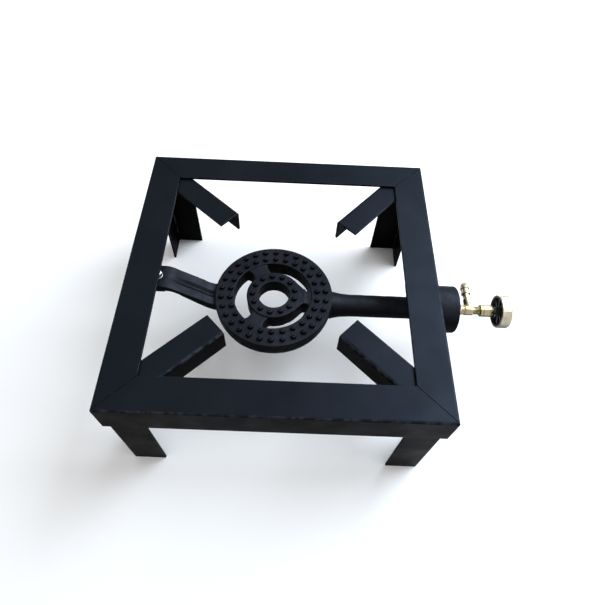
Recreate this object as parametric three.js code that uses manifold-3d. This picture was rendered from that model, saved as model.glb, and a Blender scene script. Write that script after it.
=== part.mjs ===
// Propane burner stand: a low square stand of bent steel angle with four pot supports,
// one cast-iron ring burner under its middle, and a brass needle valve with a round knob.
// Millimetres, +Z up, the stand's feet on z = 0. +X runs from the stand to the knob.
import * as THREE from "three";
import { mergeVertices } from "three/addons/utils/BufferGeometryUtils.js";
import Module from "manifold-3d";

const wasm = await Module();
wasm.setup();

// ---------------------------------------------------------------- driving dimensions
const GAP = 0.3; // clearance kept between neighbouring pieces

// stand
const STAND_HALF = 150; // half of the 300 mm square
const STAND_HEIGHT = 140;
const SHEET = 2.5; // thickness of rails, legs, supports and brackets
const RAIL_WIDTH = 32.5; // flat top of a rail
const SKIRT_DEPTH = 37.4; // outer side of the front, left and right rails
const BACK_SKIRT_DEPTH = 31; // the back rail is a shallower angle
const RAIL_BEND = 2.5; // outer bend radius of a rail
const LEG_FLANGE = 33;
const LEG_BEND = 2.5;
const SUPPORT_FLANGE = 25; // both flanges of a pot support
const SUPPORT_ROOT = 187; // from the stand's centre, along the diagonal
// The supports are welded in by eye, each turned a little about its root (degrees) and shifted sideways.
const SUPPORTS = [
  { corner: "front_left", tip: 86, turn: -1.5, shift: 0.7 },
  { corner: "front_right", tip: 87.5, turn: 1, shift: 1.5 },
  { corner: "back_right", tip: 85, turn: 3.5, shift: 2 },
  { corner: "back_left", tip: 85, turn: 3.5, shift: 2.8 },
];

// burner casting
const BURNER_X = -9.3;
const BURNER_TOP = STAND_HEIGHT - 46;
const BURNER_HEIGHT = 26;
const RING_OUTER = 61.5;
const RING_INNER = 41;
const HUB_OUTER = 28.5;
const HUB_HOLE = 16.2;
const HUB_HEIGHT = 22;
const INNER_WALL = 17; // depth of the walls inside the ring and round the hub's hole
const SPOKE_WIDTH = 16;
const SPOKE_ANGLES = [0, 114, 241];
const WALL = 3.5;
const PORT_RADIUS = 1.3;
const PORT_ROWS = [
  { radius: 54.5, count: 30 },
  { radius: 45.5, count: 26 },
  { radius: 22.3, count: 13 },
];

// mixing tube and bell, on the axis that the valve shares
const AXIS_Z = STAND_HEIGHT - 62.5;
const TUBE_RADIUS = 12;
const BELL_RADIUS = 25.5;
const BELL_START = 139;
const BELL_FULL = 151;
const BELL_END = 184;
const BAR_THICKNESS = 6; // bar across the bell's mouth, which carries the valve
const BAR_WIDTH = 10;
const BAR_BOSS_RADIUS = 8.5;
const BOLT_BOSS_RADIUS = 7; // boss on the bell under the mixer bolt
const TAP_DEPTH = 13;

// tail arm, which rises from the ring to the lug under the left rail
const ARM_WIDTH = 27;
const ARM_THICKNESS = 8;
const LUG_TOP = STAND_HEIGHT - 21;
const LUG_END = -139;

// fastenings
const TAIL_BOLT_X = -126;
const MIXER_BOLT_X = 136;
const BOLT_RADIUS = 3;
const BOLT_HOLE = 3.5;
const BOLT_FLATS = 10;
const BOLT_HEAD = 4;
const WASHER_RADIUS = 6;
const WASHER_THICKNESS = 1.2;
const NUT_HEIGHT = 5;
const TAIL_BOLT_LENGTH = 24;
const MIXER_BOLT_LENGTH = 15;
const BRACKET_WIDTH = 24;
const BRACKET_RISE = 22;
const TAIL_TAB_REACH = 118; // from the stand's centre to the end of the tab
const MIXER_TAB_REACH = 127;

// needle valve: stations along X
const NOSE_START = 171;
const VALVE_HEX_START = 185.8;
const VALVE_HEX_END = 190.5;
const BARB_X = 200.5;
const GLAND_START = 211.5;
const GLAND_END = 227;
const SPINDLE_END = 236;
const KNOB_HUB_BACK = 228.5;
const KNOB_BACK = 230; // rear edge of the knob's rim
const KNOB_FRONT = 241.5;
const KNOB_RADIUS = 17.9;
const SCREW_FRONT = 243;
const STEM_RADIUS = 2.6;
const NOSE_RADIUS = 4.5;
const BARREL_RADIUS = 5;
const CROSS_RADIUS = 5.6; // fatter stretch that the barb branches from
const VALVE_FLATS = 14;
const RETAINING_FLATS = 13;
const JET_FLATS = 8;
const SCREW_RADIUS = 1.7;

// the model's origin is at the middle of the whole length, so the stand sits off centre
const ORIGIN_SHIFT = -(SCREW_FRONT - STAND_HALF) / 2;

// ---------------------------------------------------------------- helpers
const RAD = Math.PI / 180;

// A closed indexed geometry with shared vertices and outward faces.
function weld(source) {
  source.deleteAttribute("normal");
  source.deleteAttribute("uv");
  const geometry = mergeVertices(source, 1e-4);
  const position = geometry.getAttribute("position");
  const index = geometry.getIndex().array;
  const kept = [];
  const a = new THREE.Vector3();
  const b = new THREE.Vector3();
  const c = new THREE.Vector3();
  let volume = 0;
  for (let i = 0; i < index.length; i += 3) {
    const [p, q, r] = [index[i], index[i + 1], index[i + 2]];
    if (p !== q && q !== r && r !== p) {
      kept.push(p, q, r);
      a.fromBufferAttribute(position, p);
      b.fromBufferAttribute(position, q);
      c.fromBufferAttribute(position, r);
      volume += a.dot(b.cross(c));
    }
  }
  geometry.setIndex(volume < 0 ? kept.reverse() : kept);
  return geometry;
}

function solid(geometry) {
  const welded = weld(geometry);
  const vertProperties = new Float32Array(welded.getAttribute("position").array);
  const triVerts = new Uint32Array(welded.getIndex().array);
  return new wasm.Manifold(new wasm.Mesh({ numProp: 3, vertProperties, triVerts }));
}

function geometryOf(body) {
  const mesh = body.getMesh();
  const geometry = new THREE.BufferGeometry();
  geometry.setAttribute("position", new THREE.BufferAttribute(mesh.vertProperties, 3));
  geometry.setIndex(new THREE.BufferAttribute(mesh.triVerts, 1));
  return geometry;
}

function join(bodies) {
  return bodies.reduce((sum, body) => sum.add(body));
}

function outline(points) {
  return new THREE.Shape(points.map(([x, y]) => new THREE.Vector2(x, y)));
}

// A prism of the outline, standing on z = low and rising to z = high.
function prism(shape, low, high, curveSegments = 6) {
  const options = { depth: high - low, bevelEnabled: false, curveSegments };
  return new THREE.ExtrudeGeometry(shape, options).translate(0, 0, low);
}

// A turned piece from a profile of [radius, height] about Z.
function turned(profile, segments = 24) {
  const points = profile.map(([radius, height]) => new THREE.Vector2(radius, height));
  return new THREE.LatheGeometry(points, segments).rotateX(Math.PI / 2);
}

// The same, with heights read as stations along the valve's axis.
function turnedOnAxis(profile, segments = 24) {
  return turned(profile, segments).rotateY(Math.PI / 2).translate(0, 0, AXIS_Z);
}

function tube(inner, outer, start, end) {
  return [[inner, start], [outer, start], [outer, end], [inner, end], [inner, start]];
}

function rod(radius, start, end) {
  return [[0, start], [radius, start], [radius, end], [0, end]];
}

function hexagon(acrossFlats) {
  const corner = acrossFlats / Math.sqrt(3);
  const points = [];
  for (let i = 0; i < 6; i += 1) {
    points.push([corner * Math.cos(i * 60 * RAD), corner * Math.sin(i * 60 * RAD)]);
  }
  return outline(points);
}

function hexOnAxis(acrossFlats, start, end) {
  return prism(hexagon(acrossFlats), start, end).rotateY(Math.PI / 2).translate(0, 0, AXIS_Z);
}

function box(low, high) {
  const size = high.map((value, i) => value - low[i]);
  const middle = high.map((value, i) => (value + low[i]) / 2);
  return new THREE.BoxGeometry(...size).translate(...middle);
}

// Angle section: one flange along +x, one along +y, the bend's outside at the origin corner.
function angleShape(flangeX, flangeY, thickness, bend) {
  const shape = new THREE.Shape();
  shape.moveTo(flangeX, 0);
  shape.lineTo(flangeX, thickness);
  shape.lineTo(thickness, thickness);
  shape.lineTo(thickness, flangeY);
  shape.lineTo(0, flangeY);
  shape.lineTo(0, bend);
  shape.absarc(bend, bend, bend, Math.PI, 1.5 * Math.PI, false);
  return shape;
}

// ---------------------------------------------------------------- materials
const paint = new THREE.MeshStandardMaterial({ color: 0x20232b, roughness: 0.55, metalness: 0.2 });
const castIron = new THREE.MeshStandardMaterial({ color: 0x1f2229, roughness: 0.8, metalness: 0.3 });
const brass = new THREE.MeshStandardMaterial({ color: 0xb08d45, roughness: 0.35, metalness: 1 });
const nickel = new THREE.MeshStandardMaterial({ color: 0xc9c2ad, roughness: 0.3, metalness: 1 });
const zinc = new THREE.MeshStandardMaterial({ color: 0x9a9c9e, roughness: 0.4, metalness: 1 });
const fibre = new THREE.MeshStandardMaterial({ color: 0x7a2e22, roughness: 0.8, metalness: 0 });
const rubber = new THREE.MeshStandardMaterial({ color: 0x151515, roughness: 0.9, metalness: 0 });

const stand = new THREE.Group();
stand.position.x = ORIGIN_SHIFT;

function place(name, geometry, material, turn = 0) {
  const mesh = new THREE.Mesh(geometry, material);
  mesh.name = name;
  mesh.rotation.z = turn;
  stand.add(mesh);
  return mesh;
}

// ---------------------------------------------------------------- stand
// The front rail, mitred at both ends: a point that lies further in is nearer the middle.
function railGeometry(skirt) {
  const shape = angleShape(RAIL_WIDTH, skirt, SHEET, RAIL_BEND);
  const geometry = prism(shape, -STAND_HALF, STAND_HALF);
  const position = geometry.getAttribute("position");
  for (let i = 0; i < position.count; i += 1) {
    const inward = position.getX(i);
    const down = position.getY(i);
    const reach = STAND_HALF - inward - GAP / 2;
    const along = Math.sign(position.getZ(i)) * reach;
    position.setXYZ(i, along, inward - STAND_HALF, STAND_HEIGHT - down);
  }
  return weld(geometry);
}

// The front-left leg, tucked inside the skirts and under the tops of two rails.
function legGeometry() {
  const shape = angleShape(LEG_FLANGE, LEG_FLANGE, SHEET, LEG_BEND);
  const corner = SHEET + GAP - STAND_HALF;
  const top = STAND_HEIGHT - SHEET - GAP;
  return weld(prism(shape, 0, top).translate(corner, corner, 0));
}

// A pot support along +X, its upright flange on the side that "side" names (+1 is +Y).
function supportGeometry(side, { tip, turn, shift }) {
  const top = STAND_HEIGHT - SHEET - GAP;
  const edge = side * SUPPORT_FLANGE / 2;
  const shape = outline([
    [-edge, top],
    [edge, top],
    [edge, top - SUPPORT_FLANGE],
    [edge - side * SHEET, top - SUPPORT_FLANGE],
    [edge - side * SHEET, top - SHEET],
    [-edge, top - SHEET],
  ]);
  const along = prism(shape, tip - SUPPORT_ROOT, 0).rotateX(Math.PI / 2).rotateZ(Math.PI / 2);
  return weld(along.rotateZ(turn * RAD).translate(SUPPORT_ROOT, shift, 0));
}

["front", "right", "back", "left"].forEach((name, i) => {
  const skirt = name === "back" ? BACK_SKIRT_DEPTH : SKIRT_DEPTH;
  place(`rail_${name}`, railGeometry(skirt), paint, i * Math.PI / 2);
});

SUPPORTS.forEach((support, i) => {
  const turn = i * Math.PI / 2;
  place(`leg_${support.corner}`, legGeometry(), paint, turn);
  // the upright flange always faces the nearer of the front and the back
  const side = i % 2 === 0 ? 1 : -1;
  const geometry = supportGeometry(side, support);
  place(`pot_support_${support.corner}`, geometry, paint, turn - 0.75 * Math.PI);
});

// ---------------------------------------------------------------- burner casting
const BURNER_BOTTOM = BURNER_TOP - BURNER_HEIGHT;
const HUB_BOTTOM = BURNER_TOP - HUB_HEIGHT;
const INNER_FOOT = BURNER_TOP - INNER_WALL;
const UNDERSIDE_RISE = 8; // width over which the ring's underside rises to its inner wall

function ringBody() {
  const edge = 1.5;
  const tuck = 6; // how far the underside draws in below the upright wall
  const wallFoot = BURNER_TOP - 14;
  return turned([
    [RING_INNER, INNER_FOOT],
    [RING_INNER + UNDERSIDE_RISE, BURNER_BOTTOM],
    [RING_OUTER - tuck, BURNER_BOTTOM],
    [RING_OUTER - tuck / 3, (BURNER_BOTTOM + wallFoot) / 2],
    [RING_OUTER, wallFoot],
    [RING_OUTER, BURNER_TOP - edge],
    [RING_OUTER - edge, BURNER_TOP],
    [RING_INNER + edge, BURNER_TOP],
    [RING_INNER, BURNER_TOP - edge],
    [RING_INNER, INNER_FOOT],
  ], 60);
}

function hubBody() {
  const edge = 1.5;
  return turned([
    [HUB_HOLE, INNER_FOOT],
    [HUB_OUTER, HUB_BOTTOM],
    [HUB_OUTER, BURNER_TOP - edge],
    [HUB_OUTER - edge, BURNER_TOP],
    [HUB_HOLE + edge, BURNER_TOP],
    [HUB_HOLE, BURNER_TOP - edge],
    [HUB_HOLE, INNER_FOOT],
  ], 36);
}

function spokeBody(angle) {
  const half = SPOKE_WIDTH / 2;
  const low = [HUB_OUTER - WALL, -half, HUB_BOTTOM + 1];
  const high = [RING_INNER + WALL, half, BURNER_TOP - 1];
  return box(low, high).rotateZ(angle * RAD);
}

// Gas channels: one under each ring's ports, and a passage through each spoke.
function channels() {
  const ceiling = BURNER_TOP - WALL;
  const floor = BURNER_BOTTOM + WALL;
  const draw = 4; // how far the floor stays clear of the upright outer wall
  const ringChannel = [
    [RING_INNER + WALL, INNER_FOOT + WALL / 2],
    [RING_INNER + UNDERSIDE_RISE + WALL / 2, floor],
    [RING_OUTER - WALL - draw, floor],
    [RING_OUTER - WALL, floor + 1.5 * draw],
    [RING_OUTER - WALL, ceiling],
    [RING_INNER + WALL, ceiling],
    [RING_INNER + WALL, INNER_FOOT + WALL / 2],
  ];
  const hubChannel = tube(HUB_HOLE + WALL, HUB_OUTER - WALL, INNER_FOOT + WALL, ceiling);
  const parts = [turned(ringChannel, 60), turned(hubChannel, 36)];
  const passageRadius = 4.5;
  const passageZ = (HUB_BOTTOM + BURNER_TOP) / 2;
  for (const angle of SPOKE_ANGLES) {
    const passage = turned(rod(passageRadius, HUB_OUTER - 2 * WALL, RING_INNER + 2 * WALL), 8);
    parts.push(passage.rotateY(Math.PI / 2).translate(0, 0, passageZ).rotateZ(angle * RAD));
  }
  return join(parts.map(solid));
}

function ports() {
  const cuts = [];
  for (const { radius, count } of PORT_ROWS) {
    for (let i = 0; i < count; i += 1) {
      const angle = (i + 0.5) * 2 * Math.PI / count;
      const drill = turned(rod(PORT_RADIUS, BURNER_TOP - WALL - 1, BURNER_TOP + 1), 6);
      cuts.push(solid(drill.translate(radius * Math.cos(angle), radius * Math.sin(angle), 0)));
    }
  }
  return wasm.Manifold.union(cuts);
}

// Outside of the mixing tube: a foot on the ring, the plain tube, then the bell.
function mixerOutside() {
  const rim = 1.2;
  const ringSide = BURNER_X + RING_OUTER;
  const buried = 11; // how far the foot runs into the ring's wall
  const flare = 2.5;
  return turnedOnAxis([
    [0, ringSide - buried],
    [TUBE_RADIUS + flare, ringSide - buried],
    [TUBE_RADIUS + flare, ringSide],
    [TUBE_RADIUS + flare / 3, ringSide + 9],
    [TUBE_RADIUS, ringSide + 20],
    [TUBE_RADIUS, BELL_START],
    [TUBE_RADIUS + 4, BELL_START + 3],
    [BELL_RADIUS - 3, BELL_FULL - 4],
    [BELL_RADIUS, BELL_FULL],
    [BELL_RADIUS, BELL_END - rim],
    [BELL_RADIUS - rim, BELL_END],
    [0, BELL_END],
  ], 36);
}

function mixerInside() {
  const throat = TUBE_RADIUS - WALL;
  const neck = 6; // where the gas enters the ring
  const mouth = BELL_RADIUS - 3;
  const ringSide = BURNER_X + RING_OUTER;
  return turnedOnAxis([
    [0, ringSide - 10],
    [neck, ringSide - 10],
    [neck, ringSide],
    [throat, ringSide + 35],
    [throat, BELL_START],
    [throat + 4, BELL_START + 4],
    [mouth - 3, BELL_FULL - 2],
    [mouth, BELL_FULL + 2],
    [mouth, BELL_END + 1],
    [0, BELL_END + 1],
  ], 36);
}

// Side view of the tail arm, an S that lifts it from the ring to the lug.
function tailArm() {
  const foot = BURNER_X - RING_OUTER;
  const footTop = BURNER_TOP - 4;
  const side = new THREE.Shape();
  const drop = ARM_THICKNESS;
  side.moveTo(foot + 6, footTop);
  side.lineTo(foot, footTop);
  side.quadraticCurveTo(foot - 6, footTop + 1, foot - 13, footTop + 7.5);
  side.lineTo(foot - 36, LUG_TOP - 6);
  side.quadraticCurveTo(foot - 43, LUG_TOP, foot - 52, LUG_TOP);
  side.lineTo(LUG_END, LUG_TOP);
  side.lineTo(LUG_END, LUG_TOP - drop);
  side.lineTo(foot - 46, LUG_TOP - drop);
  side.quadraticCurveTo(foot - 39, LUG_TOP - drop - 0.5, foot - 33, LUG_TOP - drop - 6.5);
  side.lineTo(foot - 11, footTop - drop + 5);
  side.quadraticCurveTo(foot - 5, footTop - drop, foot + 6, footTop - drop - 3);
  const half = ARM_WIDTH / 2;
  const bar = prism(side, -half, half).rotateX(Math.PI / 2);
  const plan = new THREE.Shape();
  const round = 9;
  plan.moveTo(0, -half);
  plan.lineTo(0, half);
  plan.lineTo(LUG_END + round, half);
  plan.absarc(LUG_END + round, half - round, round, Math.PI / 2, Math.PI, false);
  plan.absarc(LUG_END + round, round - half, round, Math.PI, 1.5 * Math.PI, false);
  return solid(bar).intersect(solid(prism(plan, 0, STAND_HEIGHT)));
}

function burnerCasting() {
  const half = BAR_WIDTH / 2;
  const bossTop = STAND_HEIGHT - SKIRT_DEPTH - GAP;
  const onBurner = [ringBody(), hubBody(), ...SPOKE_ANGLES.map(spokeBody)];
  const rings = join(onBurner.map((geometry) => solid(geometry.translate(BURNER_X, 0, 0))));
  const mixerBoss = turned(rod(BOLT_BOSS_RADIUS, AXIS_Z, bossTop), 16).translate(MIXER_BOLT_X, 0, 0);
  const outside = join([rings, tailArm(), solid(mixerOutside()), solid(mixerBoss)]);
  const inside = join([channels().translate([BURNER_X, 0, 0]), solid(mixerInside())]);
  const centreHole = solid(turned(rod(HUB_HOLE, 0, STAND_HEIGHT), 36).translate(BURNER_X, 0, 0));
  const reach = BELL_RADIUS - 1;
  const barLow = [BELL_END - BAR_THICKNESS, -half, AXIS_Z - reach];
  const bar = solid(box(barLow, [BELL_END, half, AXIS_Z + reach]));
  const barBoss = solid(turnedOnAxis(rod(BAR_BOSS_RADIUS, BELL_END - BAR_THICKNESS, BELL_END)));
  const valveHole = solid(turnedOnAxis(rod(NOSE_RADIUS + GAP, BELL_END - 12, BELL_END + 2)));
  const lugHole = solid(turned(rod(BOLT_HOLE, 0, STAND_HEIGHT), 16).translate(TAIL_BOLT_X, 0, 0));
  const tapped = turned(rod(BOLT_RADIUS + GAP, bossTop - TAP_DEPTH, STAND_HEIGHT), 16);
  return outside
    .subtract(inside)
    .subtract(centreHole)
    .add(bar)
    .add(barBoss)
    .subtract(valveHole)
    .subtract(lugHole)
    .subtract(solid(tapped.translate(MIXER_BOLT_X, 0, 0)))
    .subtract(ports().translate([BURNER_X, 0, 0]));
}

place("burner_casting", geometryOf(burnerCasting()), castIron);

// ---------------------------------------------------------------- brackets and fasteners
// An angle clip on a skirt's inner face, drawn for the right side: its tab reaches in from
// the wall, with a bolt hole through it.
function bracketGeometry(tabReach, tabBottom, boltX) {
  const wall = STAND_HALF - SHEET - GAP;
  const half = BRACKET_WIDTH / 2;
  const shape = outline([
    [wall, tabBottom],
    [wall, tabBottom + BRACKET_RISE],
    [wall - SHEET, tabBottom + BRACKET_RISE],
    [wall - SHEET, tabBottom + SHEET],
    [tabReach, tabBottom + SHEET],
    [tabReach, tabBottom],
  ]);
  const clip = solid(prism(shape, -half, half).rotateX(Math.PI / 2));
  const hole = turned(rod(BOLT_HOLE, 0, STAND_HEIGHT), 16).translate(boltX, 0, 0);
  return geometryOf(clip.subtract(solid(hole)));
}

function boltGeometry(underHead, length) {
  const head = solid(prism(hexagon(BOLT_FLATS), underHead, underHead + BOLT_HEAD));
  const shank = solid(turned(rod(BOLT_RADIUS, underHead - length, underHead + 1), 16));
  return geometryOf(head.add(shank));
}

function washerGeometry(bottom) {
  return weld(turned(tube(BOLT_HOLE, WASHER_RADIUS, bottom, bottom + WASHER_THICKNESS)));
}

const tailTabBottom = LUG_TOP - ARM_THICKNESS - GAP - SHEET;
place("tail_bracket", bracketGeometry(TAIL_TAB_REACH, tailTabBottom, -TAIL_BOLT_X), paint, Math.PI);
place("tail_washer", washerGeometry(LUG_TOP + GAP), zinc).position.x = TAIL_BOLT_X;
const tailHead = LUG_TOP + 2 * GAP + WASHER_THICKNESS;
place("tail_bolt", boltGeometry(tailHead, TAIL_BOLT_LENGTH), zinc).position.x = TAIL_BOLT_X;
const nutTop = tailTabBottom - GAP;
const nutBlank = solid(prism(hexagon(BOLT_FLATS), nutTop - NUT_HEIGHT, nutTop));
const nutThread = solid(turned(rod(BOLT_RADIUS + GAP, 0, STAND_HEIGHT), 16));
place("tail_nut", geometryOf(nutBlank.subtract(nutThread)), zinc).position.x = TAIL_BOLT_X;

const mixerTabBottom = STAND_HEIGHT - SKIRT_DEPTH;
place("mixer_bracket", bracketGeometry(MIXER_TAB_REACH, mixerTabBottom, MIXER_BOLT_X), paint);
const mixerWasherBottom = mixerTabBottom + SHEET + GAP;
place("mixer_washer", washerGeometry(mixerWasherBottom), zinc).position.x = MIXER_BOLT_X;
const mixerHead = mixerWasherBottom + WASHER_THICKNESS + GAP;
place("mixer_bolt", boltGeometry(mixerHead, MIXER_BOLT_LENGTH), zinc).position.x = MIXER_BOLT_X;

// ---------------------------------------------------------------- needle valve
const SEAT_X = 198;
const BODY_END = GLAND_START + 4.5;
const BARB_ROOT = 7; // where the barb's shoulder meets the body's side boss

function valveBody() {
  const barrel = turnedOnAxis([
    [0, NOSE_START],
    [NOSE_RADIUS, NOSE_START],
    [NOSE_RADIUS, VALVE_HEX_END - 1],
    [BARREL_RADIUS, VALVE_HEX_END - 1],
    [BARREL_RADIUS, BARB_X - 6],
    [CROSS_RADIUS, BARB_X - 5],
    [CROSS_RADIUS, BARB_X + 3.5],
    [NOSE_RADIUS, BARB_X + 4.5],
    [NOSE_RADIUS, BODY_END],
    [0, BODY_END],
  ]);
  const hex = hexOnAxis(VALVE_FLATS, VALVE_HEX_START, VALVE_HEX_END);
  const sideBoss = turned(rod(4.6, 0, BARB_ROOT)).rotateX(-Math.PI / 2);
  const tapping = 2.9; // radius of the tapped holes for the jet and the barb
  const seat = 1.5;
  const stemBore = STEM_RADIUS + 2 * GAP;
  const passage = turnedOnAxis([
    [0, NOSE_START - 1],
    [tapping, NOSE_START - 1],
    [tapping, NOSE_START + 6],
    [seat, NOSE_START + 6],
    [seat, SEAT_X],
    [stemBore, SEAT_X + 2],
    [stemBore, BODY_END + 1],
    [0, BODY_END + 1],
  ]);
  const sidePort = turned(rod(tapping, 2, BARB_ROOT + 1)).rotateX(-Math.PI / 2);
  return solid(barrel)
    .add(solid(hex))
    .add(solid(sideBoss.translate(BARB_X, 0, AXIS_Z)))
    .subtract(solid(passage))
    .subtract(solid(sidePort.translate(BARB_X, 0, AXIS_Z)));
}

// The hose barb points back, along +Y: a shoulder, a neck and two ridges.
function hoseBarb() {
  const spigot = 2.6;
  const bore = 1.8;
  const shoulder = 4.2;
  const neck = 3.4;
  const ridge = 4.9;
  const root = 4.6;
  const start = BARB_ROOT + GAP;
  const end = 34;
  const profile = [
    [bore, root],
    [spigot, root],
    [spigot, start],
    [shoulder, start],
    [shoulder, 13.5],
    [neck, 14.5],
    [neck, 20],
    [ridge, 20.5],
    [shoulder, 27],
    [ridge, 27.5],
    [neck, end],
    [bore, end],
    [bore, root],
  ];
  return weld(turned(profile).rotateX(-Math.PI / 2).translate(BARB_X, 0, AXIS_Z));
}

function retainingNut() {
  const end = BELL_END - BAR_THICKNESS - GAP;
  const height = 4.5;
  const hole = solid(turnedOnAxis(rod(NOSE_RADIUS + GAP, end - height - 1, end + 1)));
  return solid(hexOnAxis(RETAINING_FLATS, end - height, end)).subtract(hole);
}

// The jet screws into the valve's nose and points down the mixing tube.
function gasJet() {
  const shoulder = NOSE_START - GAP;
  const hex = solid(hexOnAxis(JET_FLATS, shoulder - 4, shoulder));
  const stem = solid(turnedOnAxis([
    [0, shoulder - 9],
    [1.6, shoulder - 9],
    [3.2, shoulder - 4],
    [2.6, shoulder - 1],
    [2.6, shoulder + 5],
    [0, shoulder + 5],
  ]));
  const orifice = solid(turnedOnAxis([
    [0, shoulder - 10],
    [0.5, shoulder - 10],
    [0.5, shoulder - 6],
    [1.4, shoulder - 4],
    [1.4, shoulder + 6],
    [0, shoulder + 6],
  ], 12));
  return hex.add(stem).subtract(orifice);
}

// The spindle's point sits in the seat when the valve is shut.
function spindle() {
  const end = SPINDLE_END;
  const blank = solid(turnedOnAxis([
    [0, SEAT_X - 0.8],
    [0.9, SEAT_X - 0.8],
    [STEM_RADIUS, SEAT_X + 6],
    [STEM_RADIUS, end],
    [0, end],
  ]));
  return blank.subtract(solid(turnedOnAxis(rod(SCREW_RADIUS + GAP, end - 5, end + 1), 12)));
}

function glandNut() {
  const edge = 0.8;
  const outerRadius = 6.6;
  const blank = solid(turnedOnAxis([
    [0, GLAND_START],
    [outerRadius - edge, GLAND_START],
    [outerRadius, GLAND_START + edge],
    [outerRadius, GLAND_END - edge],
    [outerRadius - edge, GLAND_END],
    [0, GLAND_END],
  ]));
  const thread = solid(turnedOnAxis(rod(NOSE_RADIUS + GAP, GLAND_START - 1, GLAND_END - 3.5)));
  const stemHole = solid(turnedOnAxis(rod(STEM_RADIUS + GAP, GLAND_START, GLAND_END + 1)));
  return blank.subtract(thread).subtract(stemHole);
}

// Round knob with a hollowed back, a hub for the spindle and a screw hole in its face.
function knob() {
  const edge = 1.6;
  const web = KNOB_HUB_BACK + 6; // floor of the hollow
  const blank = solid(turnedOnAxis([
    [0, KNOB_HUB_BACK],
    [5, KNOB_HUB_BACK],
    [5.4, web],
    [KNOB_RADIUS - 3, web],
    [KNOB_RADIUS - 3, KNOB_BACK],
    [KNOB_RADIUS - 0.8, KNOB_BACK],
    [KNOB_RADIUS, KNOB_BACK + 0.8],
    [KNOB_RADIUS, KNOB_FRONT - edge],
    [KNOB_RADIUS - edge, KNOB_FRONT],
    [0, KNOB_FRONT],
  ], 36));
  const stemHole = solid(turnedOnAxis(rod(STEM_RADIUS + GAP, KNOB_HUB_BACK - 1, SPINDLE_END + GAP)));
  const screwHole = solid(turnedOnAxis(rod(SCREW_RADIUS + GAP, SPINDLE_END, KNOB_FRONT + 1), 12));
  return blank.subtract(stemHole).subtract(screwHole);
}

function knobScrew() {
  const headBack = KNOB_FRONT + GAP;
  const headRadius = 3.6;
  const tip = SPINDLE_END - 4;
  return weld(turnedOnAxis([
    [0, tip],
    [SCREW_RADIUS, tip],
    [SCREW_RADIUS, headBack],
    [headRadius, headBack],
    [headRadius - 0.4, SCREW_FRONT - 0.2],
    [headRadius - 1.4, SCREW_FRONT],
    [0, SCREW_FRONT],
  ], 16));
}

const sealStart = BELL_END + GAP;
const sealEnd = VALVE_HEX_START - GAP;
const packingStart = BODY_END + GAP;
const packingEnd = GLAND_END - 3.5 - GAP;

place("valve_body", geometryOf(valveBody()), brass);
place("valve_seal", weld(turnedOnAxis(tube(NOSE_RADIUS + GAP, 8, sealStart, sealEnd))), fibre);
place("retaining_nut", geometryOf(retainingNut()), brass);
place("gas_jet", geometryOf(gasJet()), brass);
place("hose_barb", hoseBarb(), brass);
const packing = tube(STEM_RADIUS + GAP, NOSE_RADIUS - 0.1, packingStart, packingEnd);
place("stem_packing", weld(turnedOnAxis(packing)), rubber);
place("gland_nut", geometryOf(glandNut()), brass);
place("valve_spindle", geometryOf(spindle()), zinc);
place("valve_knob", geometryOf(knob()), nickel);
place("knob_screw", knobScrew(), zinc);

const model = new THREE.Group();
model.add(stand);
export default model;
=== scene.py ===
# Looks of the propane burner stand: painted steel stand, cast-iron ring burner, brass needle valve.
# Metres, in the frame's own axes: +X towards the knob, +Y back, +Z up.
import math

import bmesh
import bpy
import numpy as np
from mathutils import Matrix, Vector, noise


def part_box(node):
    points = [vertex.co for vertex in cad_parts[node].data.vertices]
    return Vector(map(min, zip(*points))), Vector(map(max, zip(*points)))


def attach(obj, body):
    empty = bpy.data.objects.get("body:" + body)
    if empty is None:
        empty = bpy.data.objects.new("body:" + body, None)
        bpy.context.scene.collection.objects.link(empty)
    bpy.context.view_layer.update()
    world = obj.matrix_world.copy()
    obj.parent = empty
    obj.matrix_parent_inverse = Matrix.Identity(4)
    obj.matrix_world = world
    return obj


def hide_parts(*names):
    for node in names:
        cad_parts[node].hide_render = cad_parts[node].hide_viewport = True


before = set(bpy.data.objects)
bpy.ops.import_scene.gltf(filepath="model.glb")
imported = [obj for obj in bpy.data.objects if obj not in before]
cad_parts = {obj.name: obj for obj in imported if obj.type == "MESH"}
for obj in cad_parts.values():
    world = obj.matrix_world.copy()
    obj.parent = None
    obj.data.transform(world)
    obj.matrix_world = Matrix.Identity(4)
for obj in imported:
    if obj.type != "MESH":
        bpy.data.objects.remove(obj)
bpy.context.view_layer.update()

MM = 0.001
TAU = 2 * math.pi
STAND, SPINDLE, KNOB = "stand", "spindle", "knob"
CORNERS = ["front_left", "front_right", "back_right", "back_left"]
RAILS = ["front", "right", "back", "left"]


# ---------------------------------------------------------------- the frame's sizes
def span(node, direction):
    """Lowest and highest reach of a CAD node along a direction."""
    reach = [vertex.co.dot(Vector(direction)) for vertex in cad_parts[node].data.vertices]
    return min(reach), max(reach)


rail_low, rail_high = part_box("rail_front")
leg_low, leg_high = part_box("leg_front_left")
cast_low, cast_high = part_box("burner_casting")
screw_low, screw_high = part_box("knob_screw")

HALF = -rail_low.y                               # half of the stand's width
MIDDLE_X = (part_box("rail_left")[0].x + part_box("rail_right")[1].x) / 2
TOP = rail_high.z
RAIL_WIDTH = rail_high.y - rail_low.y
SHEET = 2.5 * MM
AXIS_Z = (screw_low.z + screw_high.z) / 2        # shared axis of mixing tube, valve and knob
RING_RADIUS = cast_high.y
RING_TOP = TOP - 46 * MM
RING_X = MIDDLE_X - 9.3 * MM


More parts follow.
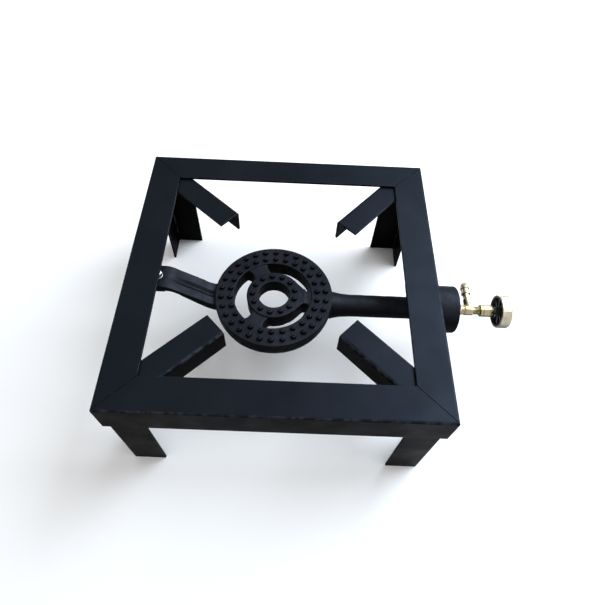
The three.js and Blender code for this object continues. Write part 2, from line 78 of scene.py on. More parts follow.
# ---------------------------------------------------------------- materials
def material(name, color, roughness, metallic=0.0, specular=0.5, tint=(1, 1, 1)):
    made = bpy.data.materials.new(name)
    made.use_nodes = True
    shader = made.node_tree.nodes["Principled BSDF"]
    shader.inputs["Base Color"].default_value = (*color, 1)
    shader.inputs["Roughness"].default_value = roughness
    shader.inputs["Metallic"].default_value = metallic
    shader.inputs["Specular IOR Level"].default_value = specular
    shader.inputs["Specular Tint"].default_value = (*tint, 1)
    return made, shader


class Wiring:
    """Short calls for building a material's nodes."""

    def __init__(self, made, shader):
        self.nodes = made.node_tree.nodes
        self.links = made.node_tree.links
        self.shader = shader
        spot = self.nodes.new("ShaderNodeTexCoord")
        self.place = spot.outputs["Object"]
        self.facing = spot.outputs["Normal"]

    def join(self, output, target):
        self.links.new(output, target)

    def noise(self, scale, detail=3.0, rough=0.5, stretch=None):
        made = self.nodes.new("ShaderNodeTexNoise")
        made.inputs["Scale"].default_value = scale
        made.inputs["Detail"].default_value = detail
        made.inputs["Roughness"].default_value = rough
        place = self.place
        if stretch:
            mapping = self.nodes.new("ShaderNodeMapping")
            mapping.inputs["Scale"].default_value = stretch
            self.join(self.place, mapping.inputs["Vector"])
            place = mapping.outputs["Vector"]
        self.join(place, made.inputs["Vector"])
        return made.outputs["Fac"]

    def cells(self, scale):
        made = self.nodes.new("ShaderNodeTexVoronoi")
        made.inputs["Scale"].default_value = scale
        self.join(self.place, made.inputs["Vector"])
        return made.outputs["Distance"]

    def band(self, value, low, high, to_low=0.0, to_high=1.0):
        made = self.nodes.new("ShaderNodeMapRange")
        made.interpolation_type = "SMOOTHSTEP"
        made.inputs["From Min"].default_value = low
        made.inputs["From Max"].default_value = high
        made.inputs["To Min"].default_value = to_low
        made.inputs["To Max"].default_value = to_high
        self.join(value, made.inputs["Value"])
        return made.outputs["Result"]

    def math(self, kind, a, b):
        made = self.nodes.new("ShaderNodeMath")
        made.operation = kind
        for socket, value in zip(made.inputs, (a, b)):
            if isinstance(value, (int, float)):
                socket.default_value = value
            else:
                self.join(value, socket)
        return made.outputs[0]

    def colors(self, factor, first, second):
        made = self.nodes.new("ShaderNodeMix")
        made.data_type = "RGBA"
        self.join(factor, made.inputs["Factor"])
        for socket, value in zip((made.inputs[6], made.inputs[7]), (first, second)):
            if isinstance(value, tuple):
                socket.default_value = (*value, 1)
            else:
                self.join(value, socket)
        return made.outputs[2]

    def upward(self, low, high):
        """0 on faces that look sideways or down, 1 on those that look up."""
        split = self.nodes.new("ShaderNodeSeparateXYZ")
        self.join(self.facing, split.inputs[0])
        return self.band(split.outputs["Z"], low, high)

    def attribute(self, name):
        made = self.nodes.new("ShaderNodeAttribute")
        made.attribute_name = name
        return made.outputs["Fac"]

    def bump(self, height, depth, after=None):
        made = self.nodes.new("ShaderNodeBump")
        made.inputs["Distance"].default_value = depth
        made.inputs["Strength"].default_value = 1
        self.join(height, made.inputs["Height"])
        if after:
            self.join(after, made.inputs["Normal"])
        return made.outputs["Normal"]


DULL_EDGE = (0.5, 0.5, 0.5)   # the enamel's gloss hardly grows towards grazing angles
ENAMEL = 0.7                  # metallic share of both black finishes
UNDERSIDE = 0.16              # painted shade: brightness of metal that looks down, as a share of dull metal's


def worn_black(wiring, shader, patches, sides, tops, looks_up, scuffs, rubbed):
    """A patchy black, paler on faces that look up, which stands in for light, and rubbed on every bend."""
    side = wiring.colors(patches, *sides)
    top = wiring.colors(patches, *tops)
    shaded = wiring.colors(wiring.upward(*looks_up), side, top)
    rub = wiring.math("MULTIPLY", wiring.attribute("edge"), wiring.band(scuffs, 0.42, 0.6))
    wiring.join(wiring.colors(rub, shaded, rubbed), shader.inputs["Base Color"])


def black_paint():
    """Satin blue-black enamel on steel: faint orange peel, and slow runs under it."""
    made, shader = material("black_paint", (0.012, 0.015, 0.021), 0.42, ENAMEL, 0.03, DULL_EDGE)
    wiring = Wiring(made, shader)
    patches = wiring.band(wiring.noise(14, 4), 0.35, 0.65)
    # painted shade on faces that look sideways or down, and painted light on faces that look up
    sides = (0.0018, 0.0018, 0.0019), (0.0028, 0.0028, 0.0029)
    tops = (0.0115, 0.0142, 0.0195), (0.0135, 0.0165, 0.0225)
    worn_black(wiring, shader, patches, sides, tops, (0.2, 0.9), wiring.noise(160, 5), (0.032, 0.037, 0.047))
    wiring.join(wiring.band(wiring.noise(45, 3), 0.3, 0.7, 0.36, 0.47), shader.inputs["Roughness"])
    peel = wiring.bump(wiring.noise(420, 2), 0.06 * MM)
    runs = wiring.bump(wiring.noise(38, 1), 0.25 * MM, after=peel)
    wiring.join(runs, shader.inputs["Normal"])
    return made


def cast_iron():
    """Cast iron under thin black paint: pitted grain, drier than the stand."""
    made, shader = material("black_cast_iron", (0.012, 0.013, 0.018), 0.48, ENAMEL, 0.03, DULL_EDGE)
    wiring = Wiring(made, shader)
    patches = wiring.band(wiring.noise(30, 5), 0.35, 0.65)
    # painted shade on faces that look sideways or down, and painted light on faces that look up
    sides = (0.0045, 0.0047, 0.0055), (0.006, 0.0063, 0.0073)
    tops = (0.0165, 0.018, 0.0235), (0.0215, 0.0235, 0.030)
    worn_black(wiring, shader, patches, sides, tops, (0.35, 0.95), wiring.noise(220, 4), (0.03, 0.031, 0.036))
    wiring.join(wiring.band(wiring.noise(120, 4), 0.3, 0.7, 0.42, 0.6), shader.inputs["Roughness"])
    grain = wiring.bump(wiring.noise(900, 4, 0.6), 0.22 * MM)
    pits = wiring.bump(wiring.band(wiring.cells(520), 0.05, 0.4), 0.12 * MM, after=grain)
    wiring.join(pits, shader.inputs["Normal"])
    return made


def turned_metal(name, bright, dull, roughness, streak):
    """Plated or bare metal off a lathe: fine tool marks round its axis, tarnish, and a dark
    underside that stands in for shade and turns with the piece."""
    made, shader = material(name, bright, roughness, 1.0)
    wiring = Wiring(made, shader)
    tarnish = wiring.band(wiring.noise(130, 5, 0.6), 0.45, 0.75)
    clean = wiring.colors(tarnish, bright, dull)
    # painted shade: faces that look sideways or down go dark, and the shade turns with the piece
    underside = tuple(UNDERSIDE * channel for channel in dull)
    tint = wiring.colors(wiring.upward(-0.05, 0.75), underside, clean)
    wiring.join(tint, shader.inputs["Base Color"])
    spread = wiring.band(wiring.noise(260, 4), 0.3, 0.7, roughness - 0.06, roughness + 0.1)
    wiring.join(spread, shader.inputs["Roughness"])
    marks = wiring.bump(wiring.noise(60, 2, stretch=streak), 0.04 * MM)
    wiring.join(marks, shader.inputs["Normal"])
    return made


def plain_matt(name, color, roughness, scale, depth):
    made, shader = material(name, color, roughness)
    wiring = Wiring(made, shader)
    darker = tuple(0.6 * channel for channel in color)
    wiring.join(wiring.colors(wiring.noise(scale, 3), darker, color), shader.inputs["Base Color"])
    wiring.join(wiring.bump(wiring.noise(scale * 2, 4), depth), shader.inputs["Normal"])
    return made


ROUND_X = (60, 1, 1)   # tool marks round the X axis are narrow along X
ROUND_Y = (1, 60, 1)
ROUND_Z = (1, 1, 60)
PAINT = black_paint()
IRON = cast_iron()
BRASS = turned_metal("brass", (0.62, 0.54, 0.32), (0.38, 0.30, 0.16), 0.24, ROUND_X)
BARB_BRASS = turned_metal("barb_brass", (0.62, 0.55, 0.38), (0.36, 0.29, 0.18), 0.24, ROUND_Y)
PLATE = turned_metal("plated_knob", (0.78, 0.72, 0.58), (0.55, 0.45, 0.30), 0.18, ROUND_X)
ZINC = turned_metal("zinc_steel", (0.52, 0.53, 0.54), (0.34, 0.34, 0.33), 0.3, ROUND_Z)
FIBRE = plain_matt("fibre", (0.22, 0.035, 0.02), 0.8, 700, 0.00005)
RUBBER = plain_matt("black_rubber", (0.012, 0.012, 0.012), 0.7, 500, 0.00004)


# ---------------------------------------------------------------- mesh helpers
def piece(name, vertices, faces, finish, body=STAND, nodes=(), angle=38, edge=None):
    """A new mesh object on a CAD body, in place of the CAD nodes it is named for."""
    mesh = bpy.data.meshes.new(name)
    mesh.from_pydata([tuple(v) for v in vertices], [], faces)
    if edge is not None:
        layer = mesh.attributes.new("edge", "FLOAT", "POINT")
        layer.data.foreach_set("value", np.asarray(edge, np.float32))
    made = bpy.data.objects.new(name, mesh)
    bpy.context.scene.collection.objects.link(made)
    return settle(made, finish, body, nodes, angle)


def settle(made, finish, body=STAND, nodes=(), angle=38):
    made.data.materials.clear()
    made.data.materials.append(finish)
    made.data.shade_smooth()
    made.data.set_sharp_from_angle(angle=math.radians(angle))
    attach(made, body)
    if nodes:
        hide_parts(*nodes)
    return made


SHOULDER = 0.4 * MM   # a flat's outermost strip, which keeps the flat's shading clear of the arcs
ROUND_END = 0.4 * MM  # rounding of a bar's cut ends
END_WEAR = 0.8        # how rubbed those ends are, from 0 to 1


def rounded(points, radii, steps=5):
    """A closed outline with each corner turned into an arc, and how far into an edge each point is."""
    count = len(points)
    corners = [Vector(point) for point in points]
    ways = [(corners[(i + 1) % count] - corners[i]).normalized() for i in range(count)]
    reaches = []
    for i, radius in enumerate(radii):
        half = (-ways[i - 1]).angle(ways[i]) / 2
        reaches.append(radius / math.tan(half))
    outline, edge = [], []
    for i, radius in enumerate(radii):
        here, back, ahead, reach = corners[i], -ways[i - 1], ways[i], reaches[i]
        flat_back = (corners[i - 1] - here).length - reach - reaches[i - 1]
        flat_ahead = (corners[(i + 1) % count] - here).length - reach - reaches[(i + 1) % count]
        half = back.angle(ahead) / 2
        centre = here + (back + ahead).normalized() * (radius / math.sin(half))
        start = here + back * reach - centre
        end = here + ahead * reach - centre
        if flat_back > 3 * SHOULDER:
            outline.append(here + back * (reach + SHOULDER))
            edge.append(0)
        for k in range(steps + 1):
            t = k / steps
            arc = start.slerp(end, t) if start.angle(end) > 1e-4 else start
            outline.append(centre + arc.normalized() * radius)
            edge.append(math.sin(math.pi * t))
        if flat_ahead > 3 * SHOULDER:
            outline.append(here + ahead * (reach + SHOULDER))
            edge.append(0)
    return outline, edge


def inset(outline, depth):
    """The outline moved inwards along its own normals (the outline runs counter-clockwise)."""
    moved = []
    count = len(outline)
    area = sum(outline[i - 1].cross(outline[i]) for i in range(count))
    side = 1 if area > 0 else -1
    for i in range(count):
        along = outline[(i + 1) % count] - outline[i - 1]
        normal = Vector((-along.y, along.x)).normalized() * side
        moved.append(outline[i] + normal * depth)
    return moved


def skin(rings):
    """Faces between rings of points, with a cap on each end."""
    size = len(rings[0])
    last = (len(rings) - 1) * size
    vertices = [point for ring in rings for point in ring]
    faces = []
    for a in range(0, last, size):
        b = a + size
        for i in range(size):
            j = (i + 1) % size
            faces.append((a + i, a + j, b + j, b + i))
    faces.append(tuple(reversed(range(size))))
    faces.append(tuple(range(last, last + size)))
    return vertices, faces


def bar(outline, edge, start, end, lift):
    """A bar of the outline between two stations, its cut ends slightly rounded.
    lift(point, station) gives the 3-D point."""
    steps = 3
    ends = []
    for k in range(steps + 1):
        turn = k / steps * math.pi / 2
        ends.append((ROUND_END * (1 - math.sin(turn)), ROUND_END * (1 - math.cos(turn))))
    ends.append((0, ROUND_END + SHOULDER))
    stops = [(depth, start + back) for depth, back in ends]
    stops += [(depth, end - back) for depth, back in reversed(ends)]
    rings, wear = [], []
    for depth, station in stops:
        ring = inset(outline, depth) if depth > 0 else outline
        rings.append([lift(point, station) for point in ring])
        wear.extend([END_WEAR] * len(outline) if depth > 0 else edge)
    vertices, faces = skin(rings)
    return vertices, faces, wear


def turned(profile, sides=64, shape=None, closed=False):
    """A turned solid about +Z from (radius, height) points; shape(angle, radius, height) may bend the radius.
    An open profile starts and ends on the axis."""
    vertices, faces, rings = [], [], []
    for radius, height in profile:
        if radius < 1e-9:
            rings.append([len(vertices)])
            vertices.append(Vector((0, 0, height)))
            continue
        ring = []
        for i in range(sides):
            angle = TAU * i / sides
            reach = shape(angle, radius, height) if shape else radius
            ring.append(len(vertices))
            vertices.append(Vector((reach * math.cos(angle), reach * math.sin(angle), height)))
        rings.append(ring)
    pairs = list(zip(rings, rings[1:]))
    if closed:
        pairs.append((rings[-1], rings[0]))
    for low, high in pairs:
        for i in range(sides):
            j = (i + 1) % sides
            if len(low) == 1 and len(high) > 1:
                faces.append((low[0], high[j], high[i]))
            elif len(high) == 1 and len(low) > 1:
                faces.append((low[i], low[j], high[0]))
            elif len(low) > 1:
                faces.append((low[i], low[j], high[j], high[i]))
    return vertices, faces


def mm(points, start=0.0):
    """A profile given in millimetres, its heights counted from a start in metres."""
    return [(radius * MM, start + height * MM) for radius, height in points]


def moved(mesh, matrix):
    return [matrix @ Vector(v) for v in mesh[0]], mesh[1]


def merged(meshes):
    vertices, faces = [], []
    for some, others in meshes:
        base = len(vertices)
        vertices.extend(some)
        faces.extend(tuple(base + i for i in face) for face in others)
    return vertices, faces


def outward(made):
    """Turns the faces of each closed shell outwards."""
    mesh = bmesh.new()
    mesh.from_mesh(made.data)
    bmesh.ops.remove_doubles(mesh, verts=mesh.verts, dist=1e-7)
    bmesh.ops.recalc_face_normals(mesh, faces=mesh.faces)
    mesh.to_mesh(made.data)
    mesh.free()
    return made


def scratch(name, mesh):
    data = bpy.data.meshes.new(name)
    data.from_pydata([tuple(v) for v in mesh[0]], [], mesh[1])
    made = bpy.data.objects.new(name, data)
    bpy.context.scene.collection.objects.link(made)
    return outward(made)


def baked(made):
    """The object's mesh with its modifiers applied."""
    graph = bpy.context.evaluated_depsgraph_get()
    data = bpy.data.meshes.new_from_object(made.evaluated_get(graph))
    made.modifiers.clear()
    made.data = data
    return made


# the valve's axis: a turned piece's +Z becomes +X, and its heights are stations along X
ON_AXIS = Matrix.Translation((0, 0, AXIS_Z)) @ Matrix.Rotation(math.pi / 2, 4, "Y")


def hex_reach(flats, angle):
    sector = math.radians(60)
    off = (angle % sector) - sector / 2
    return flats / 2 / math.cos(off)


# ---------------------------------------------------------------- painted stand
BEND = 2.2 * MM       # outside of a rail's bend
LEG_BEND = 2.4 * MM
SUPPORT_BEND = 3 * MM
CLIP_BEND = 2.8 * MM
INNER_BEND = 1.2 * MM # inside of any bend
CLIP_HOLE = 3.5 * MM  # radius of the bolt's hole in a clip
CUT = 0.5 * MM        # rounding on sheared edges
MITRE_GAP = 0.15 * MM


def angle_outline(flange_x, flange_y, bend):
    corners = [(0, 0), (flange_x, 0), (flange_x, SHEET), (SHEET, SHEET), (SHEET, flange_y), (0, flange_y)]
    return rounded(corners, [bend, CUT, CUT, INNER_BEND, CUT, CUT])


def quarter(index):
    """A turn about the stand's middle, by quarter turns."""
    return Matrix.Translation((MIDDLE_X, 0, 0)) @ Matrix.Rotation(index * math.pi / 2, 4, "Z")


def painted(name, mesh, node):
    made = piece(name, mesh[0], mesh[1], PAINT, STAND, [node], 32, mesh[2])
    return outward(made)


def rail(index, name):
    low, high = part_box(f"rail_{name}")
    outline, edge = angle_outline(RAIL_WIDTH, high.z - low.z, BEND)
    turn = quarter(index)

    def lift(point, station):
        reach = max(HALF - point.x - MITRE_GAP, 0)
        along = math.copysign(reach - (1 - abs(station)), station)
        return turn @ Vector((along, point.x - HALF, TOP - point.y))

    # stations run from -1 to 1, and what they fall short of 1 is a setback in metres
    painted(f"rail_{name}_bent", bar(outline, edge, -1, 1, lift), f"rail_{name}")


def leg(index, name):
    flange = leg_high.x - leg_low.x
    outline, edge = angle_outline(flange, flange, LEG_BEND)
    corner = Vector((leg_low.x - MIDDLE_X, leg_low.y))
    turn = quarter(index)

    def lift(point, station):
        return turn @ Vector((corner.x + point.x, corner.y + point.y, station))

    painted(f"leg_{name}_angle", bar(outline, edge, leg_low.z, leg_high.z, lift), f"leg_{name}")


def flange_way(node):
    """The way a pot support's upright flange faces: out of its largest upright face."""
    walls = [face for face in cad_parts[node].data.polygons if abs(face.normal.z) < 0.1]
    return max(walls, key=lambda face: face.area).normal.copy()


def pot_support(name):
    node = f"pot_support_{name}"
    across = flange_way(node)
    along = Vector((across.y, -across.x, 0))
    lowest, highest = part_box(node)
    if along.dot((lowest + highest) / 2 - Vector((MIDDLE_X, 0, 0))) < 0:
        along.negate()
    tip, root = span(node, along)
    low, high = span(node, across)
    bottom, top = span(node, (0, 0, 1))
    outline, edge = angle_outline(high - low, top - bottom, SUPPORT_BEND)

    def lift(point, station):
        place = along * station + across * (high - point.x)
        place.z = top - point.y
        return place

    painted(f"{node}_angle", bar(outline, edge, tip, root, lift), node)


for i, name in enumerate(RAILS):
    rail(i, name)
for i, name in enumerate(CORNERS):
    leg(i, name)
    pot_support(name)


# ---------------------------------------------------------------- clips that hold the burner
def clip(node, side, bolt_x):
    """A bent clip on a skirt's inner face; side is +1 on the right and -1 on the left."""
    low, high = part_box(node)
    reach = high.x - low.x
    rise = high.z - low.z
    wall = high.x if side > 0 else low.x
    outline, edge = angle_outline(reach, rise, CLIP_BEND)

    def lift(point, station):
        return Vector((wall - side * point.x, station, low.z + point.y))

    made = painted(f"{node}_clip", bar(outline, edge, low.y, high.y, lift), node)
    drill = turned([(0, -1), (CLIP_HOLE, -1), (CLIP_HOLE, 1), (0, 1)], 32)
    cut(made, scratch("hole", moved(drill, Matrix.Translation((bolt_x, 0, 0)))))
    settle(made, PAINT, STAND, (), 32)


def cut(made, cutter):
    modifier = made.modifiers.new("cut", "BOOLEAN")
    modifier.operation = "DIFFERENCE"
    modifier.solver = "EXACT"
    modifier.object = cutter
    baked(made)
    bpy.data.objects.remove(cutter)


# ---------------------------------------------------------------- threaded and hexagonal parts
def thread(depth, pitch, start, end, then=None):
    """A shape for turned(): a vee thread between two stations, fading in and out over half a turn."""
    def shape(angle, radius, height):
        reach = then(angle, radius, height) if then else radius
        if start < height < end and radius > 0:
            turn = (height / pitch - angle / TAU) % 1
            vee = 1 - abs(2 * turn - 1)
            fade = min(1, (height - start) / (0.5 * pitch), (end - height) / (0.5 * pitch))
            return reach - depth * vee * fade
        return reach
    return shape


def hexed(flats, start, end):
    """A shape for turned(): a hexagon between two stations, rounded off by the profile's own radius."""
    def shape(angle, radius, height):
        if start <= height <= end:
            return min(radius, hex_reach(flats, angle))
        return radius
    return shape


def stations(radius, start, end, step):
    count = max(2, math.ceil((end - start) / step))
    return [(radius, start + (end - start) * k / count) for k in range(count + 1)]


BOLT_RADIUS = 3 * MM
BOLT_HEAD = 4 * MM
BOLT_FLATS = 10 * MM
NUT_BORE = 2.6 * MM
WASHER_BORE = 3.4 * MM
WASHER_RADIUS = 6 * MM


def bolt_mesh(under_head, tip):
    radius, flats = BOLT_RADIUS, BOLT_FLATS
    corner = flats / math.sqrt(3)
    top = under_head + BOLT_HEAD
    profile = [(0, tip), (radius - 0.8 * MM, tip), (radius, tip + 0.8 * MM)]
    profile += stations(radius, tip + 1 * MM, under_head - 0.6 * MM, 0.125 * MM)
    profile += [(radius, under_head), (flats * 0.475, under_head), (corner * 0.985, under_head + 0.3 * MM)]
    profile += [(corner, under_head + 0.5 * MM), (corner, top - 0.75 * MM)]
    profile += [(corner * 0.985, top - 0.6 * MM), (flats * 0.46, top - 0.08 * MM), (flats * 0.44, top)]
    profile += [(flats * 0.36, top), (flats * 0.33, top - 0.2 * MM), (0, top - 0.2 * MM)]
    screw = thread(0.5 * MM, 1 * MM, tip, under_head - 1 * MM)

    def shape(angle, reach, height):
        if height >= under_head and reach > flats * 0.4:
            return min(reach, hex_reach(flats, angle))
        return screw(angle, reach, height)

    return turned(profile, 48, shape)


def nut_mesh(low, high):
    bore, flats = NUT_BORE, BOLT_FLATS
    corner = flats / math.sqrt(3)
    ease = 0.7 * MM
    profile = [(bore, low), (flats * 0.45, low), (flats * 0.475, low + 0.1 * MM), (corner, low + ease)]
    profile += [(corner, high - ease), (flats * 0.475, high - 0.1 * MM), (flats * 0.45, high), (bore, high)]
    return turned(profile, 48, hexed(flats, low, high), closed=True)


def eased_ring(inner, outer, low, high, ease):
    """Profile of a flat ring with its four edges chamfered."""
    return [(inner, low + ease), (inner + ease, low), (outer - ease, low), (outer, low + ease),
            (outer, high - ease), (outer - ease, high), (inner + ease, high), (inner, high - ease)]


def fastening(node, mesh, x):
    place = moved(mesh, Matrix.Translation((x, 0, 0)))
    outward(piece(f"{node}_turned", place[0], place[1], ZINC, STAND, [node], 30))


def middle_x(node):
    low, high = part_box(node)
    return (low.x + high.x) / 2


for end, side in (("tail", -1), ("mixer", 1)):
    x = middle_x(f"{end}_bolt")
    clip(f"{end}_bracket", side, x)
    low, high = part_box(f"{end}_bolt")
    fastening(f"{end}_bolt", bolt_mesh(high.z - BOLT_HEAD, low.z), x)
    low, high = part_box(f"{end}_washer")
    profile = eased_ring(WASHER_BORE, WASHER_RADIUS, low.z, high.z, 0.25 * MM)
    fastening(f"{end}_washer", turned(profile, 48, closed=True), x)
low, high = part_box("tail_nut")
fastening("tail_nut", nut_mesh(low.z, high.z), middle_x("tail_nut"))


# ---------------------------------------------------------------- weld beads
def bead(name, start, end, normal, width, height, seed):
    """A hand-laid weld between two points, lying in a corner that opens along normal."""
    start, end, normal = Vector(start), Vector(end), Vector(normal).normalized()
    along = (end - start).normalized()
    across = along.cross(normal)
    length = (end - start).length
    count = max(6, int(length / (0.5 * MM)))
    around = 10
    rings = []
    for k in range(count + 1):
        t = k / count
        travel = t * length
        wander = noise.noise(Vector((travel * 180, seed, 0)))
        ripple = 0.12 * abs(math.sin(math.pi * travel / (1.9 * MM) + 0.6 * wander))
        taper = math.sqrt(max(0.02, 1 - abs(2 * t - 1) ** 6))
        reach = taper * (1 + 0.16 * wander)
        ring = []
        for i in range(around):
            angle = TAU * i / around
            lag = -0.5 * MM * math.cos(angle) ** 2
            side = across * (0.5 * width * reach * math.cos(angle))
            up = normal * (height * reach * (1 + ripple) * math.sin(angle))
            ring.append(start + along * (travel + lag * taper) + side + up)
        rings.append(ring)
    mesh = skin(rings)
    outward(piece(name, mesh[0], mesh[1], PAINT, STAND, (), 60))


def corner_point(index, x, y, z):
    """A point given for the front-left corner, carried round to another one."""
    return quarter(index) @ Vector((x, y, z))


def turned_way(index, x, y, z):
    return quarter(index).to_3x3() @ Vector((x, y, z))


INNER = HALF - SHEET                             # inner face of a skirt
SKIRT_FOOT = rail_low.z
for i, name in enumerate(CORNERS):
    edge_at = leg_high.x - MIDDLE_X              # where each leg flange ends
    for tag, flip in (("a", False), ("b", True)):
        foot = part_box(f"rail_{RAILS[i - flip]}")[0].z

        def at(along, out, z):
            spot = (out, along) if flip else (along, out)
            return corner_point(i, spot[0], spot[1], z)

        def way(along, out, z):
            spot = (out, along) if flip else (along, out)
            return turned_way(i, spot[0], spot[1], z)

        # up the flange's free edge, against the skirt
        bead(f"weld_leg_{name}_{tag}", at(edge_at, -INNER, foot + 4 * MM), at(edge_at, -INNER, TOP - 8 * MM),
             way(1, 1, 0), 4.6 * MM, 1.9 * MM, 3 * i + 7 * flip)
        # under the skirt's lower edge
        bead(f"weld_skirt_{name}_{tag}", at(edge_at - 20 * MM, -INNER + 0.1 * MM, foot),
             at(edge_at - 6 * MM, -INNER + 0.1 * MM, foot), way(0, -1, -1), 4 * MM, 1.5 * MM, 11 * i + flip)

for end, side in (("tail", -1), ("mixer", 1)):
    low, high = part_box(f"{end}_bracket")
    wall = (high.x if side > 0 else low.x) + side * 0.2 * MM
    for tag, y, way in (("front", low.y, -1), ("back", high.y, 1)):
        bead(f"weld_{end}_bracket_{tag}", (wall, y, low.z + 3 * MM), (wall, y, high.z - 1.5 * MM),
             (-side, way, 0), 4.2 * MM, 1.8 * MM, 40 + side + way)


# ---------------------------------------------------------------- burner casting
def fillet_loop(points, steps=4):
    """Points are (radius, height, rounding); the loop comes back with its corners turned into arcs."""
    outline, _ = rounded([p[:2] for p in points], [max(p[2], 1e-6) for p in points], steps)
    return [(max(p.x, 0), p.y) for p in outline]


AT_RING = Matrix.Translation((RING_X, 0, 0))
WALL_LIMIT = 43 * MM   # the ring's inner wall lies inside this radius, and the rest of it outside


def at_ring(points, sides, shape=None):
    return moved(turned(fillet_loop(points), sides, shape, True), AT_RING)


def off_centre(angle, radius, height):
    """The ring's inner wall is a little off centre, towards the tail arm."""
    return radius - (0.8 + 1.2 * math.cos(angle)) * MM if radius < WALL_LIMIT else radius


def ring_turn(degrees):
    return AT_RING @ Matrix.Rotation(math.radians(degrees), 4, "Z")


def on_axis(points, sides=96):
    return moved(turned(fillet_loop(points), sides, closed=True), ON_AXIS)


def slab(low, high, turn=None):
    (a, b, c), (d, e, f) = low, high
    vertices = [Vector((x, y, z)) for x in (a, d) for y in (b, e) for z in (c, f)]
    faces = [(0, 1, 3, 2), (4, 6, 7, 5), (0, 4, 5, 1), (2, 3, 7, 6), (0, 2, 6, 4), (1, 5, 7, 3)]
    return ([turn @ v for v in vertices] if turn else vertices), faces


def wedge(half_widths, low, high, turn):
    """An upright block along +X; its plan is given in millimetres as (distance, half width) pairs."""
    plan = [Vector((x, y)) * MM for x, y in half_widths]
    plan += [Vector((p.x, -p.y)) for p in reversed(plan)]
    return skin([[turn @ Vector((p.x, p.y, z)) for p in plan] for z in (low, high)])


def curve(points, steps=10):
    """Samples of a side profile: plain points, and quadratic bends given as (control, end)."""
    path = [Vector(points[0])]
    for step in points[1:]:
        if len(step) == 2 and hasattr(step[0], "__len__"):
            start, control, end = path[-1], Vector(step[0]), Vector(step[1])
            for k in range(1, steps + 1):
                t = k / steps
                path.append((1 - t) ** 2 * start + 2 * t * (1 - t) * control + t * t * end)
        else:
            path.append(Vector(step))
    return np.array([[p.x, p.y] for p in path])


RING_FOOT = RING_TOP - 26 * MM
HUB_FOOT = RING_TOP - 22 * MM
DECK = RING_TOP - 0.8 * MM                        # flats that the pips stand on: the ring's
HUB_DECK = RING_TOP - 0.4 * MM                    # and the hub's, a little higher
INNER_FOOT = RING_TOP - 19 * MM                   # the walls round the gaps are shallower than the rim
RING_LEFT = RING_X - RING_RADIUS                  # where the tail arm leaves the ring
LUG_TOP = TOP - 21 * MM
ARM_DEPTH = 8 * MM
ARM_HALF = 13.5 * MM
LUG_ROUND = 9 * MM                                # rounding of the lug's corners
LUG_END = cast_low.x
SPOKES = [(-2.5, 8.3), (118, 9.2), (241.5, 8.6)]  # degrees, and half width in millimetres
BELL_END = cast_high.x
BELL_START = BELL_END - 45 * MM
BELL_FULL = BELL_END - 33 * MM
BAR_BACK = BELL_END - 6 * MM                      # the bar across the bell's mouth
BAR_REACH = 24.4 * MM


def arm_mesh():
    """The tail arm, swept from inside the ring up to the lug."""
    foot = RING_LEFT
    top = RING_TOP - 4 * MM
    over = curve([(foot + 6 * MM, top), (foot, top),
                  ((foot - 6 * MM, top + 1 * MM), (foot - 13 * MM, top + 7.5 * MM)),
                  (foot - 36 * MM, LUG_TOP - 6 * MM),
                  ((foot - 43 * MM, LUG_TOP), (foot - 52 * MM, LUG_TOP)), (LUG_END, LUG_TOP)])[::-1]
    lug = LUG_TOP - ARM_DEPTH
    root = top - ARM_DEPTH
    under = curve([(LUG_END, lug), (foot - 46 * MM, lug),
                   ((foot - 39 * MM, lug - 0.5 * MM), (foot - 33 * MM, lug - 6.5 * MM)),
                   (foot - 13 * MM, root + 4.5 * MM),
                   ((foot - 6 * MM, root - 2 * MM), (foot + 6 * MM, root - 5 * MM))])
    rings = []
    for x in np.linspace(LUG_END + 0.4 * MM, foot + 6 * MM, 90):
        into = min(x - LUG_END, LUG_ROUND)
        half = ARM_HALF - LUG_ROUND + math.sqrt(max(0, LUG_ROUND ** 2 - (LUG_ROUND - into) ** 2))
        high = np.interp(x, over[:, 0], over[:, 1])
        low = np.interp(x, under[:, 0], under[:, 1])
        rings.append([Vector((x, y, z)) for y, z in ((-half, low), (half, low), (half, high), (-half, high))])
    return skin(rings)


def ring_and_hub():
    deck = RING_TOP - 3.5 * MM
    ring = at_ring([(41.3 * MM, INNER_FOOT + 0.2 * MM, 1 * MM), (49 * MM, RING_FOOT + 0.3 * MM, 3 * MM),
                    (55.5 * MM, RING_FOOT + 0.3 * MM, 2 * MM), (59.4 * MM, RING_FOOT + 6 * MM, 3 * MM),
                    (61.1 * MM, RING_FOOT + 12 * MM, 2 * MM), (61.1 * MM, deck, 0.2 * MM),
                    (41.3 * MM, deck, 0.2 * MM)], 128, off_centre)
    deck = HUB_DECK - 2.5 * MM
    hub = at_ring([(16.4 * MM, INNER_FOOT + 0.2 * MM, 1 * MM), (28.2 * MM, HUB_FOOT + 0.2 * MM, 2.5 * MM),
                   (28.2 * MM, deck, 0.2 * MM), (16.2 * MM, deck, 0.2 * MM)], 96)
    return [ring, hub]


def spokes():
    """Three spokes flared at both ends, and the fillets of the one towards the mixing tube."""
    foot = HUB_FOOT + 1.4 * MM
    top = RING_TOP - 1.6 * MM
    shells = []
    for degrees, half in SPOKES:
        plan = [(22, 11), (28.4, half + 0.6), (32, half), (35, half), (38, half + 1.2), (40, half + 2.6),
                (44, half + 3)]
        shells.append(wedge(plan, foot, top, ring_turn(degrees)))
    plan = [(16.8, 22.8), (21.3, 19.6), (26.7, 13.6), (29.7, 10.2), (33, 8.4)]
    shells.append(wedge(plan, foot, HUB_DECK - 0.5 * MM, AT_RING))
    shells.append(slab((37.8 * MM, -10 * MM, foot), (WALL_LIMIT, 7 * MM, DECK - 0.3 * MM), ring_turn(-26)))
    return shells


